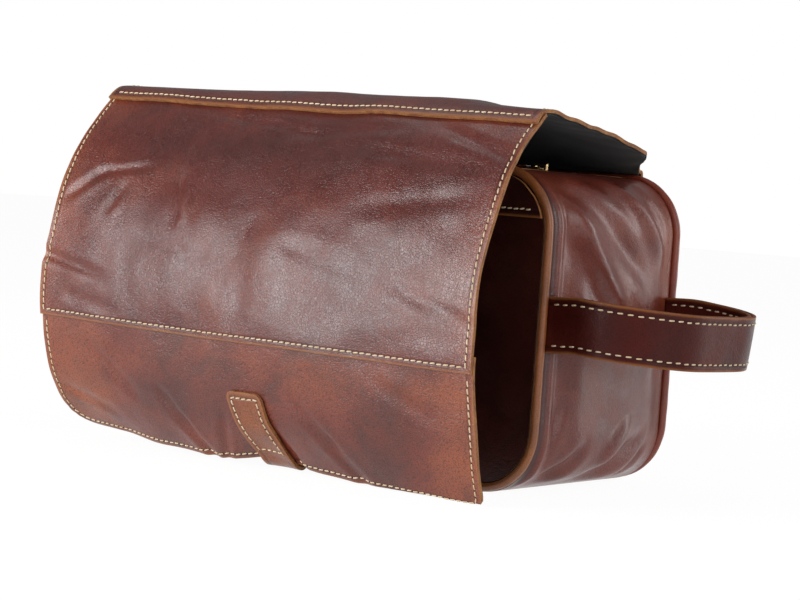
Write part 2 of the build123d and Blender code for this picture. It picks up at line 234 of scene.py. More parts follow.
# ------------------------------------------------------------------ materials
class NodeTree:
    """A node tree, written top to bottom."""

    def __init__(self, tree):
        self.tree = tree

    def node(self, kind, inputs=(), **settings):
        node = self.tree.nodes.new(kind)
        for key, value in settings.items():
            setattr(node, key, value)
        for key, value in dict(inputs).items():
            self.feed(node.inputs[key], value)
        return node

    def feed(self, socket, value):
        if hasattr(value, "is_output"):
            self.tree.links.new(value, socket)
        else:
            socket.default_value = value

    def math(self, what, a, b=0.0, c=0.0):
        return self.node("ShaderNodeMath", {0: a, 1: b, 2: c},
                         operation=what).outputs[0]


class Finish(NodeTree):
    """One material on the Principled shader."""

    def __init__(self, name):
        self.material = bpy.data.materials.new(name)
        self.material.use_nodes = True
        super().__init__(self.material.node_tree)
        self.shader = self.tree.nodes["Principled BSDF"]

    def place(self, kind):
        return self.node("ShaderNodeTexCoord").outputs[kind]

    def cloud(self, place, scale, detail=2.0, rough=0.5, bend=0.0):
        return self.node("ShaderNodeTexNoise", {
            "Vector": place, "Scale": scale, "Detail": detail,
            "Roughness": rough, "Distortion": bend}).outputs["Fac"]

    def carried(self, name):
        """A value that the piece carries on its points."""
        return self.node("ShaderNodeAttribute", attribute_name=name).outputs["Fac"]

    def stirred(self, place, scale, detail, reach):
        """The same place, pushed about by noise, up to reach metres."""
        push = self.node("ShaderNodeTexNoise", {
            "Vector": place, "Scale": scale, "Detail": detail}).outputs["Color"]
        push = self.node("ShaderNodeVectorMath", {0: push, 1: (reach,) * 3},
                         operation="MULTIPLY").outputs[0]
        return self.node("ShaderNodeVectorMath", {0: place, 1: push},
                         operation="ADD").outputs[0]

    def cells(self, place, scale, feature="F1"):
        return self.node("ShaderNodeTexVoronoi", {"Vector": place, "Scale": scale},
                         feature=feature).outputs["Distance"]

    def span(self, value, low, high, to_low, to_high):
        return self.node("ShaderNodeMapRange", {
            "Value": value, "From Min": low, "From Max": high,
            "To Min": to_low, "To Max": to_high},
            interpolation_type="SMOOTHSTEP").outputs[0]

    def ramp(self, value, stops):
        node = self.node("ShaderNodeValToRGB", {"Fac": value})
        ramp = node.color_ramp
        while len(ramp.elements) < len(stops):
            ramp.elements.new(0.5)
        for element, (at, colour) in zip(ramp.elements, stops):
            element.position = at
            element.color = (*colour, 1)
        return node.outputs["Color"]

    def blend(self, factor, a, b):
        node = self.node("ShaderNodeMix", data_type="RGBA")
        self.feed(node.inputs[0], factor)
        self.feed(node.inputs[6], a if hasattr(a, "is_output") else (*a, 1))
        self.feed(node.inputs[7], b if hasattr(b, "is_output") else (*b, 1))
        return node.outputs[2]

    def bump(self, height):
        """Height is in millimetres."""
        node = self.node("ShaderNodeBump", {
            "Strength": 1.0, "Distance": MM, "Height": height})
        self.feed(self.shader.inputs["Normal"], node.outputs["Normal"])

    def set(self, **values):
        for key, value in values.items():
            socket = self.shader.inputs[key.replace("_", " ")]
            if isinstance(value, tuple) and len(value) == 3:
                value = (*value, 1)
            self.feed(socket, value)


TAN_EDGE = (0.34, 0.125, 0.035)
SMOKE = (0.050, 0.019, 0.017)


def waxed_leather(name, dark, main, warm, matt=0.40, edge=True, grain=1.0,
                  on="UV", smoky=0.35, shine=0.5, coat=0.20):
    """Glazed leather: uneven dye, pebble grain, stretched wrinkles, worn rims."""
    f = Finish(name)
    place = f.place(on)
    broad = f.cloud(place, 16, 3, 0.55, 0.4)
    patch = f.cloud(place, 70, 4, 0.6, 0.3)
    speck = f.cloud(place, 900, 2, 0.5)
    tone = f.math("MULTIPLY_ADD", broad, 0.75, 0.06)
    tone = f.math("MULTIPLY_ADD", patch, 0.30, tone)
    tone = f.math("MULTIPLY_ADD", speck, 0.10, f.math("SUBTRACT", tone, 0.10))
    if edge:
        # The carried tone adds each piece's stains, and in places painted shade.
        tone = f.math("ADD", tone, f.carried("tone"))
    colour = f.ramp(tone, ((0.18, dark), (0.50, main), (0.92, warm)))
    smoke = f.span(f.cloud(place, 24, 4, 0.6, 0.7), 0.47, 0.72, 0.0, smoky)
    colour = f.blend(smoke, colour, SMOKE)
    pebble = f.span(f.cells(f.stirred(place, 420.0, 2.0, 0.0016), 760,
                            "DISTANCE_TO_EDGE"), 0.0, 0.22, 0.0, 1.0)
    fine = f.cells(place, 1900)
    crackle = f.span(f.cells(f.stirred(place, 90.0, 3.0, 0.009), 210,
                             "DISTANCE_TO_EDGE"), 0.0, 0.10, 0.0, 1.0)
    where = f.span(f.cloud(place, 28, 2, 0.5), 0.46, 0.66, 0.0, 1.0)
    sunk = f.math("MULTIPLY", f.span(pebble, 0.0, 0.8, 0.62 * grain, 0.0),
                  f.span(speck, 0.36, 0.62, 0.0, 1.0))
    colour = f.blend(f.math("MINIMUM", sunk, 1.0), colour,
                     tuple(c * 0.5 for c in dark))
    height = f.math("MULTIPLY", pebble, 0.046 * grain)
    height = f.math("MULTIPLY_ADD", fine, -0.03 * grain, height)
    height = f.math("MULTIPLY_ADD", f.math("MULTIPLY", crackle, where), 0.05 * grain,
                    height)
    height = f.math("MULTIPLY_ADD", patch, 0.55, height)
    if edge:
        rim = f.carried("edge")
        wander = f.math("MULTIPLY_ADD", patch, 1.6, -0.8)
        worn = f.span(f.math("ADD", rim, wander), 0.2, 1.7, 1.0, 0.0)
        colour = f.blend(f.math("MULTIPLY", worn, 0.75), colour, TAN_EDGE)
        seam = f.math("ABSOLUTE", f.math("SUBTRACT", rim, STITCH_IN))
        pressed = f.span(seam, 0.2, 1.3, -0.28, 0.0)
        height = f.math("ADD", height, pressed)
        colour = f.blend(f.span(seam, 0.2, 1.2, 0.35, 0.0), colour,
                         tuple(c * 0.45 for c in dark))
    f.set(Base_Color=colour, Coat_Weight=coat, Coat_Roughness=0.24,
          Specular_IOR_Level=shine,
          Roughness=f.span(patch, 0.3, 0.7, matt - 0.05, matt + 0.09))
    f.bump(height)
    return f.material


def raw_edge(name, light, dark):
    """Cut edge of the hide: fibrous, tan, darker where it was burnished."""
    f = Finish(name)
    place = f.place("Object")
    fibre = f.cloud(place, 1500, 3, 0.65)
    patch = f.cloud(place, 170, 3, 0.6)
    tone = f.math("MULTIPLY_ADD", fibre, 0.45, f.math("MULTIPLY", patch, 0.55))
    f.set(Base_Color=f.ramp(tone, ((0.36, dark), (0.60, light))), Roughness=0.72)
    f.bump(f.math("MULTIPLY", fibre, 0.25))
    return f.material


def woven_lining(name, dark, light, scale=1400.0):
    """Plain tightly woven lining cloth."""
    f = Finish(name)
    place = f.place("Object")
    x, y, z = f.node("ShaderNodeSeparateXYZ", {0: place}).outputs
    warp, weft = (f.math("SINE", f.math("MULTIPLY", across, scale * 3.1))
                  for across in (f.math("ADD", x, y), f.math("SUBTRACT", z, y)))
    weave = f.math("MULTIPLY", warp, weft)
    fuzz = f.cloud(place, 420, 3, 0.6)
    tone = f.math("MULTIPLY_ADD", weave, 0.15, fuzz)
    f.set(Base_Color=f.ramp(tone, ((0.3, dark), (0.8, light))), Roughness=0.9,
          Sheen_Weight=0.10, Sheen_Roughness=0.5)
    f.bump(f.math("MULTIPLY_ADD", weave, 0.06, f.math("MULTIPLY", fuzz, 0.12)))
    return f.material


def old_brass(name):
    """Zip metal and studs, softly tarnished."""
    f = Finish(name)
    place = f.place("Object")
    haze = f.cloud(place, 260, 4, 0.6)
    scratch = f.cloud(place, 2200, 2, 0.5)
    f.set(Base_Color=f.ramp(haze, ((0.3, (0.20, 0.13, 0.06)),
                                   (0.7, (0.52, 0.38, 0.19)))),
          Metallic=1.0, Roughness=f.span(haze, 0.3, 0.7, 0.42, 0.26))
    f.bump(f.math("MULTIPLY", scratch, 0.02))
    return f.material


def thread_finish(name):
    """Waxed linen thread, twisted and a little soiled."""
    f = Finish(name)
    place = f.place("Object")
    twist = f.cloud(place, 1900, 2, 0.5)
    soil = f.cloud(place, 60, 2, 0.5)
    tone = f.math("MULTIPLY_ADD", twist, 0.5, f.math("MULTIPLY", soil, 0.5))
    f.set(Base_Color=f.ramp(tone, ((0.34, (0.66, 0.46, 0.25)),
                                   (0.62, (0.93, 0.78, 0.55)))), Roughness=0.68)
    f.bump(f.math("MULTIPLY", twist, 0.12))
    return f.material


def painted_hole_shade_finish(name):
    """The inside of a needle hole, near black: painted shade in the hole."""
    f = Finish(name)
    shade = f.cloud(f.place("Object"), 700, 2, 0.5)
    f.set(Base_Color=f.ramp(shade, ((0.3, (0.008, 0.003, 0.002)),
                                    (0.8, (0.035, 0.012, 0.007)))), Roughness=0.85)
    return f.material


flap_leather = waxed_leather("flap_leather", (0.060, 0.010, 0.007),
                             (0.132, 0.019, 0.012), (0.300, 0.062, 0.021),
                             matt=0.32, grain=1.35)
hem_leather = waxed_leather("hem_leather", (0.078, 0.014, 0.009),
                            (0.185, 0.035, 0.020), (0.360, 0.090, 0.030), matt=0.36,
                            grain=1.2, smoky=0.6)
pouch_leather = waxed_leather("pouch_leather", (0.080, 0.014, 0.009),
                              (0.190, 0.033, 0.019), (0.340, 0.076, 0.025),
                              matt=0.34, grain=0.9, smoky=0.3)
strap_leather = waxed_leather("strap_leather", (0.030, 0.004, 0.003),
                              (0.072, 0.009, 0.006), (0.15, 0.024, 0.011),
                              matt=0.33, grain=0.7, shine=0.14, coat=0.03)
# Darker leather for the front panels, which lie in the shade under the flap: painted
# shade.
painted_shade_leather = waxed_leather("painted_shade_front_leather", (0.024, 0.0045, 0.003),
                               (0.070, 0.012, 0.007), (0.17, 0.036, 0.014),
                               matt=0.42, shine=0.2, coat=0.03)
tab_leather = waxed_leather("tab_leather", (0.090, 0.020, 0.010),
                            (0.220, 0.055, 0.020), (0.40, 0.125, 0.034), matt=0.42)
EDGELESS = {"matt": 0.36, "edge": False, "grain": 0.6, "on": "Object"}
piping_leather = waxed_leather("piping_leather", (0.13, 0.034, 0.014),
                               (0.34, 0.105, 0.028), (0.56, 0.22, 0.060), **EDGELESS)
pull_leather = waxed_leather("pull_leather", (0.044, 0.007, 0.005),
                             (0.120, 0.022, 0.012), (0.24, 0.055, 0.020), **EDGELESS)
rear_piping_leather = waxed_leather("rear_piping_leather", (0.11, 0.018, 0.011),
                                    (0.27, 0.046, 0.025), (0.44, 0.105, 0.038),
                                    **EDGELESS)
cut_edge = raw_edge("cut_edge", (0.46, 0.20, 0.062), (0.16, 0.050, 0.018))
strap_edge = raw_edge("strap_edge", (0.34, 0.115, 0.035), (0.12, 0.030, 0.014))
black_lining = woven_lining("black_lining", (0.003, 0.0025, 0.0025),
                            (0.011, 0.010, 0.010))
pouch_lining = woven_lining("pouch_lining", (0.010, 0.008, 0.008),
                            (0.045, 0.037, 0.033))
zip_cloth = woven_lining("zip_cloth", (0.030, 0.012, 0.009),
                         (0.085, 0.036, 0.026), scale=2100.0)
brass = old_brass("brass")
thread = thread_finish("linen_thread")
painted_hole_shade = painted_hole_shade_finish("painted_hole_shade")


# ---------------------------------------------------------------- the stitches
STITCH_LONG, STITCH_PITCH = 2.8, 3.6
STITCH_NECK = 0.9      # from here outwards a stitch dips into the leather
STITCH_AIM = 1.3       # a stitch heads along the seam over this reach each way


def make_stitch():
    """One waxed stitch along X, its ends dipping into the leather."""
    bpy.ops.object.select_all(action="DESELECT")
    bpy.ops.mesh.primitive_cylinder_add(vertices=6, radius=0.44 * MM,
                                        depth=STITCH_LONG * MM,
                                        rotation=(0, math.pi / 2, 0))
    piece = bpy.context.object
    bpy.ops.object.transform_apply(location=True, rotation=True, scale=True)
    edit_all(piece, *(
        lambda x=x: bpy.ops.mesh.bisect(plane_co=(x * MM, 0, 0), plane_no=(1, 0, 0))
        for x in (STITCH_NECK, -STITCH_NECK)))
    co = points_of(piece.data)
    reach = np.abs(co[:, 0]) / (STITCH_LONG / 2 * MM)
    co[:, 2] = co[:, 2] * (1 - 0.25 * reach ** 2) - 0.42 * MM * reach ** 2.5
    co[:, 1] *= 1 - 0.25 * reach ** 2
    co[:, 2] += 0.16 * MM
    piece.data.vertices.foreach_set("co", co.ravel())
    for face in piece.data.polygons:
        face.use_smooth = True
        face.material_index = 0
    return piece


def make_hole():
    """One needle hole: a small dimple plug between two stitches, its near-black colour
    painted shade.
    """
    bpy.ops.object.select_all(action="DESELECT")
    bpy.ops.mesh.primitive_cylinder_add(vertices=6, radius=0.35 * MM, depth=0.3 * MM)
    piece = bpy.context.object
    edit_all(piece, lambda: bpy.ops.mesh.bevel(offset=0.09 * MM, segments=1))
    co = points_of(piece.data)
    co[:, 2] -= 0.06 * MM
    piece.data.vertices.foreach_set("co", co.ravel())
    for face in piece.data.polygons:
        face.material_index = 1
    return piece


STITCH, HOLE = make_stitch(), make_hole()


def lay_copy(cloth, original, placed):
    copy = original.data.copy()
    copy.transform(placed)
    cloth.from_mesh(copy)
    bpy.data.meshes.remove(copy)


def sew(name, surface, routes, pitch=STITCH_PITCH, sign=1.0, slant=7.0):
    """Sews along routes, each a list of (u, v) corners on surface(u, v)."""
    cloth = bmesh.new()
    spin = Matrix.Rotation(math.radians(slant), 4, "Z")
    turn = 0
    for route in routes:
        corners = np.array(route, float)
        legs = np.hypot(*(corners[1:] - corners[:-1]).T)
        along = np.concatenate([[0], np.cumsum(legs)])
        fine = np.linspace(0, along[-1], int(along[-1] / 0.4) + 2)
        u = np.interp(fine, along, corners[:, 0])
        v = np.interp(fine, along, corners[:, 1])
        here = surface(u, v)
        east = surface(u + 0.5, v) - surface(u - 0.5, v)
        north = surface(u, v + 0.5) - surface(u, v - 0.5)
        out = np.cross(east, north) * sign
        out /= np.linalg.norm(out, axis=1)[:, None]
        run = np.concatenate([[0], np.cumsum(np.linalg.norm(np.diff(here, axis=0),
                                                            axis=1))])
        count = max(1, int(round(run[-1] / pitch)))
        step = run[-1] / count

        def at(distance, column):
            return np.array([np.interp(distance, run, column[:, k])
                             for k in range(3)])

        for k in range(count):
            middle = (k + 0.5) * step
            ahead = at(min(middle + STITCH_AIM, run[-1]), here)
            behind = at(max(middle - STITCH_AIM, 0.0), here)
            x = Vector(ahead - behind).normalized()
            z = Vector(at(middle, out)).normalized()
            y = z.cross(x).normalized()
            x = y.cross(z)
            turn += 1
            wobble = 0.10 * math.sin(turn * 2.39) * MM
            placed = Matrix((x, y, z)).transposed().to_4x4()
            placed.translation = Vector(at(middle, here)) * MM + y * wobble
            lay_copy(cloth, STITCH, placed @ spin)
            if k:
                placed.translation = Vector(at(k * step, here)) * MM
                lay_copy(cloth, HOLE, placed)
    mesh = bpy.data.meshes.new(name)
    cloth.to_mesh(mesh)
    cloth.free()
    piece = bpy.data.objects.new(name, mesh)
    bpy.context.scene.collection.objects.link(piece)
    mesh.materials.append(thread)
    # Second slot: the painted shade in the needle holes.
    mesh.materials.append(painted_hole_shade)
    return piece


# ------------------------------------------------------------- the flap's shape
def front_profiles():
    """The flap front's line for every X, added up from the way it heads."""
    xs = np.linspace(-HALF_FLAP, HALF_FLAP, 69)
    ss = np.arange(-2.0, HEM_AT + 3.0, 1.0)
    heading = np.zeros((len(xs), len(ss)))
    y, z = heading.copy(), heading.copy()
    left = np.interp(ss, *zip(*LEFT_TURN))
    middle = np.interp(ss, *zip(*MIDDLE_TURN))
    right = np.interp(ss, *zip(*RIGHT_TURN))
    for i, x in enumerate(xs):
        wl, wr = smooth(20, HALF_FLAP, -x), smooth(20, HALF_FLAP, x)
        wm = 1 - wl - wr
        heading[i] = wl * left + wr * right + wm * middle
        tucked = math.exp(-((x - LEAN) / 17) ** 2)
        heading[i] += 15 * tucked * smooth(162, HEM_AT, ss)
        angle = np.radians(heading[i])
        start = [wl * RIDGE["left"][k] + wm * RIDGE["middle"][k]
                 + wr * RIDGE["right"][k] for k in (0, 1)]
        for table, turn, begin in ((y, np.cos(angle), start[0]),
                                   (z, np.sin(angle), start[1])):
            total = np.concatenate([[0], np.cumsum((turn[1:] + turn[:-1]) / 2)])
            table[i] = begin + total - total[2]
    return xs, ss, heading, y, z


XS, SS, HEADING, FRONT_Y, FRONT_Z = front_profiles()


def read_table(table, x, s):
    """The table's value at x across and s down from the ridge."""
    i = np.clip((x + HALF_FLAP) / (XS[1] - XS[0]), 0, len(XS) - 1.001)
    j = np.clip(s + 2.0, 0, len(SS) - 1.001)
    i0, j0 = i.astype(int), j.astype(int)
    fi, fj = i - i0, j - j0
    return ((table[i0, j0] * (1 - fi) + table[i0 + 1, j0] * fi) * (1 - fj)
            + (table[i0, j0 + 1] * (1 - fi) + table[i0 + 1, j0 + 1] * fi) * fj)


FLAP_FOLDS = (
    (-128, 71, -110, 56, 3.4, 1.3), (-112, 57, -82, 50, 3.0, 1.1),
    (-92, 62, -99, 78, 3.0, 0.8), (-140, 102, -98, 110, 3.6, 1.5),
    (-58, 52, -52, 78, 4.0, 0.7), (-44, 50, -40, 76, 4.5, 0.6),
    (-56, 12, 6, 20, 3.2, 0.8), (-10, 24, 60, 17, 3.6, 0.7),
    (40, 30, 118, 36, 5.0, 0.7), (88, 14, 132, 30, 4.0, 0.9),
    (60, 62, 120, 52, 6.0, 0.7), (-70, 88, -30, 96, 5.0, 0.5),
    (20, 84, 70, 96, 6.0, 0.5), (86, 98, 132, 112, 4.5, 0.7),
    (-120, 122, -84, 128, 4.0, 0.6),
    (-58, 166, -42, 186, 3.8, 1.3), (-44, 182, -28, 206, 3.6, 1.3),
    (34, 162, 54, 184, 4.0, 1.2), (50, 180, 70, 206, 4.0, 1.1),
    (-100, 150, -74, 172, 4.5, 0.8), (84, 146, 112, 160, 4.5, 0.7),
    (-130, 176, -96, 186, 4.0, 0.8), (-14, 176, -22, 206, 3.0, 0.9),
    (17, 180, 27, 206, 3.0, 0.9),
)


def flap_relief(x, s):
    """How far the flap's leather stands off its plain curve."""
    calm = smooth(0, 8, s)
    broad = waves(x, s, 62, 1.7) * 1.5 + waves(x, s, 24, 5.1) * 0.42
    tug = -1.6 * np.exp(-(x / 17) ** 2) * smooth(165, 196, s)
    return (broad + creases(x, s, FLAP_FOLDS)) * (0.35 + 0.65 * calm) + tug


def flap_edge(x, s):
    """The cut sides wander a little."""
    drift = 1.3 * np.sin(s / 23.0 + np.sign(x)) + 0.6 * np.sin(s / 9.1 + 2 * x)
    return x + np.abs(x / HALF_FLAP) ** 3 * drift * 0.6


def flap_front(x, s, depth=0.0):
    """The flap's front at x across and s down from the ridge, depth under its
    outer face."""
    heading = np.radians(read_table(HEADING, x, s))
    y, z = read_table(FRONT_Y, x, s), read_table(FRONT_Z, x, s)
    lift = flap_relief(x, s) - depth
    out_y, out_z = np.sin(heading), -np.cos(heading)
    z = z + out_z * lift
    return np.stack([flap_edge(x, s), y + out_y * lift, np.maximum(z, FLOOR_GAP)], 1)


def top_half_width(y):
    """The flap narrows, with rounded shoulders, towards the back seam."""
    return HALF_FLAP - 27.0 * smooth(14.0, 66.0, y) ** 1.3


def top_hump(x, t):
    """The lid's top swells up behind the ridge before it falls to the back."""
    k = np.maximum(t, 0) / 34.0
    return 9.0 * k * np.exp(1 - k) * (0.45 + 0.55 * smooth(-136, 10, x)) \
        * (1 - 0.62 * smooth(60, 136, x)) * (1 - smooth(90, 139, t))


def lid_line(x, t):
    """y and z of the lid's plain line, from the ridge to the back seam."""
    k = np.clip(t / LID_RUN, 0, 1)
    at_ridge = np.zeros(len(x))
    y, z = read_table(FRONT_Y, x, at_ridge), read_table(FRONT_Z, x, at_ridge)
    return (y + (BACK_SEAM[0] - y) * k,
            z + (BACK_SEAM[1] - z) * k + 2.6 * 4 * k * (1 - k))


def lid_lap(x, t, lift):
    """The lid's bend over the ridge and on to the front, a curve of three points."""
    y, z = lid_line(x, LAP_FROM)
    behind = np.stack([x, y - 0.12 * lift, z + top_hump(x, LAP_FROM) + 0.99 * lift], 1)
    y, z = lid_line(x, 0.0)
    above = np.stack([x, y - 0.45 * lift - 0.6, z + 0.95 * lift + 0.5], 1)
    before = flap_front(x, np.full(len(x), LAP), -lift)
    w = ((LAP_FROM - t) / (LAP_FROM + LAP))[:, None]
    return (1 - w) ** 2 * behind + 2 * w * (1 - w) * above + w ** 2 * before


def flap_top(u, t, depth=0.0):
    """u runs -1..1 across, t is the length back from the ridge; below 0 it
    laps over the ridge on to the front, and past the back seam it turns down
    on to the back panel."""
    y, z = lid_line(u * HALF_FLAP, t)
    x = u * top_half_width(y)
    z = z + top_hump(x, t)
    sway = (waves(x, t, 55, 9.2) * 1.3 + waves(x, t, 20, 3.3) * 0.4) \
        * smooth(0, 25, t) * (1 - smooth(LID_RUN - 22, LID_RUN, t))
    ragged = np.abs(u) ** 10 * (0.9 * np.sin(t / 8.3 + 3 * u) + 0.4 * np.sin(t / 2.9))
    z = z + sway - ragged * smooth(0, 20, t) * 0.8
    lift = 2.0 * (1 - smooth(4, 22, t)) - depth
    points = np.stack([x + 0.5 * ragged, y - 0.12 * lift, z + 0.99 * lift], 1)
    over = t < LAP_FROM
    if over.any():
        points[over] = lid_lap(u[over] * HALF_FLAP, t[over], 2.0 - depth)
    down = t > LID_RUN
    if down.any():
        d = t[down] - LID_RUN
        turn = np.minimum(d / 4.0, 1.0) * (math.pi / 2)
        drop = np.maximum(d - 4.0, 0.0)
        points[down, 1] = BACK_SEAM[0] + (2.2 - depth) * np.sin(turn) + 0.4
        points[down, 2] = BACK_SEAM[1] - 2.4 + (2.4 - depth) * np.cos(turn) - drop
    return points


UNDER_PLY = 1.85           # the bottom panel lies this far under the middle one
HEM_CORNER = (17.0, 6.0)   # radius of the hem's left and right corners


def hem_half_width(s, side):
    """The bottom panel's half width: its hem corners are rounded off."""
    r = np.where(side < 0, *HEM_CORNER)
    past = np.clip(s - (HEM_AT - r), 0, r)
    return HALF_FLAP - (r - np.sqrt(np.maximum(r * r - past * past, 0.0)))


def line_flap(name, columns, rows, surface, node, turn):
    """A piece of the flap's black lining cloth."""
    cloth, _, _ = lay_sheet(name, columns, rows, surface, turn=turn)
    thicken(cloth, LINING, (black_lining,) * 3, bevel=0)
    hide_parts(node)
    return cloth


# The marks with negative tone at s 22 to 38 are painted shade: the darker band below
# the ridge, above the lamp's highlight. The rest are stains.
FLAP_STAINS_AND_SHADE = (
    (-20, 22, 130, 22, -0.11),
    (-136, 22, 30, 16, 0.06), (-140, 80, 14, 60, 0.16), (-138, 128, 22, 16, 0.20),
    (-70, 32, 60, 14, -0.14), (60, 38, 90, 14, -0.16), (132, 60, 12, 60, 0.06),
    (0, 60, 40, 30, -0.04),
)
HEM_STAINS = (
    (-136, 150, 26, 30, 0.34), (-120, 185, 30, 16, 0.24), (128, 165, 18, 34, 0.20),
    (-30, 165, 46, 20, -0.20), (50, 178, 36, 18, -0.16), (-84, 150, 30, 12, 0.08),
    (96, 146, 34, 10, 0.10),
)


def make_flap_front():
    """Middle panel with its seam, and bottom panel with its hem, both lined."""
    columns = lines(-HALF_FLAP, HALF_FLAP, 1.9)
    rows = lines(-1.5, SEAM_AT, 1.9, fine_start=False)
    piece, x, s = lay_sheet("flap_middle_leather", columns, rows, flap_front,
                            turn=True)
    edge = np.minimum(HALF_FLAP - np.abs(x), SEAM_AT - s)
    mark(piece, edge, spots(x, s, FLAP_STAINS_AND_SHADE)
         + 0.16 * np.exp(-np.maximum(HALF_FLAP - np.abs(x), 0) / 7))
    thicken(piece, LEATHER, (flap_leather, cut_edge, black_lining))
    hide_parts("flap_middle_panel")

    def hem_face(x, s):
        return flap_front(x, s, UNDER_PLY)

    rows = np.concatenate([np.arange(SEAM_AT - 8.0, HEM_AT - 19.0, 1.9),
                           HEM_AT - 18.0 * np.linspace(1, 0, 20) ** 1.7])
    hem, u, s = lay_sheet("flap_bottom_leather", columns / HALF_FLAP, rows,
                          lambda u, s: hem_face(u * hem_half_width(s, u), s),
                          turn=True)
    x = u * hem_half_width(s, u)
    edge = np.minimum(hem_half_width(s, u) - np.abs(x), HEM_AT - s)
    mark(hem, edge, spots(x, s, HEM_STAINS))
    stretch_uv(hem, HALF_FLAP, 0.4)
    thicken(hem, LEATHER, (hem_leather, cut_edge, black_lining))
    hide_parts("flap_bottom_panel")

    inset = np.linspace(-1, 1, 111)
    upper = line_flap(
        "flap_lining_upper_cloth", inset, np.linspace(0, SEAM_AT - 8.5, 56),
        lambda u, s: flap_front(u * (HALF_FLAP - 1.2), s, 1.9), "flap_lining_upper",
        True)
    lower = line_flap(
        "flap_lining_lower_cloth", inset, np.linspace(SEAM_AT - 7.5, HEM_AT - 1.5, 34),
        lambda u, s: flap_front(u * (hem_half_width(s, u) - 1.2), s, 3.75),
        "flap_lining_lower", True)

    inner = HALF_FLAP - STITCH_IN
    sides = sew("flap_middle_side_stitches", flap_front,
                [[(-inner, 6), (-inner, SEAM_AT - 2)],
                 [(inner, 6), (inner, SEAM_AT - 2)]], sign=-1)
    seam = sew("flap_seam_stitches", flap_front,
               [[(-inner + 2, SEAM_AT - STITCH_IN),
                 (inner - 2, SEAM_AT - STITCH_IN)]], sign=-1)
    low = HEM_AT - STITCH_IN
    turn = np.radians(np.linspace(0, 90, 10))
    corners = [[(HALF_FLAP - r + (r - STITCH_IN) * math.cos(a),
                 HEM_AT - r + (r - STITCH_IN) * math.sin(a)) for a in turn]
               for r in HEM_CORNER]
    left_corner = [(-a, b) for a, b in corners[0]]
    gap = 13.0          # no hem stitches this far each side of the closing tab
    cut_left = [(-inner, SEAM_AT + 3)] + left_corner + [(LEAN - gap, low)]
    cut_right = [(LEAN + gap, low)] + corners[1][::-1] + [(inner, SEAM_AT + 3)]
    hem_stitch = sew("flap_hem_stitches", hem_face, [cut_left, cut_right], sign=-1)
    return (piece, upper, sides), (hem, lower, hem_stitch, seam)


def stretch_uv(piece, across, shift=0.0):
    """Where u ran -1..1, brings the UV map back to real lengths."""
    layer = piece.data.uv_layers.active.data
    uv = np.empty(len(layer) * 2)
    layer.foreach_get("uv", uv)
    uv = uv.reshape(-1, 2)
    uv[:, 0] = uv[:, 0] * across + shift
    layer.foreach_set("uv", uv.ravel())


def make_flap_top():
    """The lid: from its lap over the ridge to the turn down past the back seam."""
    columns = lines(-HALF_FLAP, HALF_FLAP, 2.2) / HALF_FLAP
    end = LID_RUN + BACK_LAP
    rows = np.concatenate([np.linspace(-LAP, 6.0, 18), np.arange(8.0, 137.0, 2.2),
                           np.linspace(138.0, end, 16)])
    piece, u, t = lay_sheet("flap_top_leather", columns, rows, flap_top)
    edge = np.minimum(np.minimum(HALF_FLAP * (1 - np.abs(u)), t + LAP), end - t)
    mark(piece, edge, 0.12 * np.exp(-(HALF_FLAP * (1 - np.abs(u))) / 9) - 0.05)
    stretch_uv(piece, HALF_FLAP, 0.8)
    thicken(piece, LEATHER, (flap_leather, cut_edge, black_lining))
    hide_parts("flap_top_panel")
    cloth = line_flap(
        "flap_lining_top_cloth", np.linspace(-1, 1, 91), np.linspace(1.0, 138.5, 60),
        lambda u, t: flap_top(u * 0.992, t, 1.95), "flap_lining_top", False)
    side = HALF_FLAP - 4.2
    seams = sew("flap_top_stitches", lambda x, t: flap_top(x / HALF_FLAP, t),
                [[(-side, 6), (-side, 134)], [(side, 6), (side, 134)],
                 [(-side, 3.1 - LAP), (side, 3.1 - LAP)],
                 [(-side + 1, 150.5), (side - 1, 150.5)]])
    return piece, cloth, seams


# ------------------------------------------------------------- the closing tab
TAB_HALF = 11.0
TAB_TOP = 160.0


def tab_centre(s):
    """The tab's middle: it leans over down the flap, and back to the stud."""
    top, hem, stud = 2.0, LEAN, 0.0
    return np.where(s < HEM_AT, top + (hem - top) * (s - TAB_TOP) / (HEM_AT - TAB_TOP),
                    hem + (stud - hem) * smooth(HEM_AT, HEM_AT + 22, s))


TAB_BEGIN = HEM_AT - 3.0     # where the tab leaves the bottom panel
TAB_HOOK, TAB_RUN, TAB_RISE = 9.0, 15.0, 26.2   # round the hem, back, up
TAB_BEND = (-73.2, 9.8, 8.3)   # y and z of the last bend's centre, outer radius
TAB_END = TAB_BEGIN + TAB_HOOK + TAB_RUN + TAB_BEND[2] * math.pi / 2 + TAB_RISE


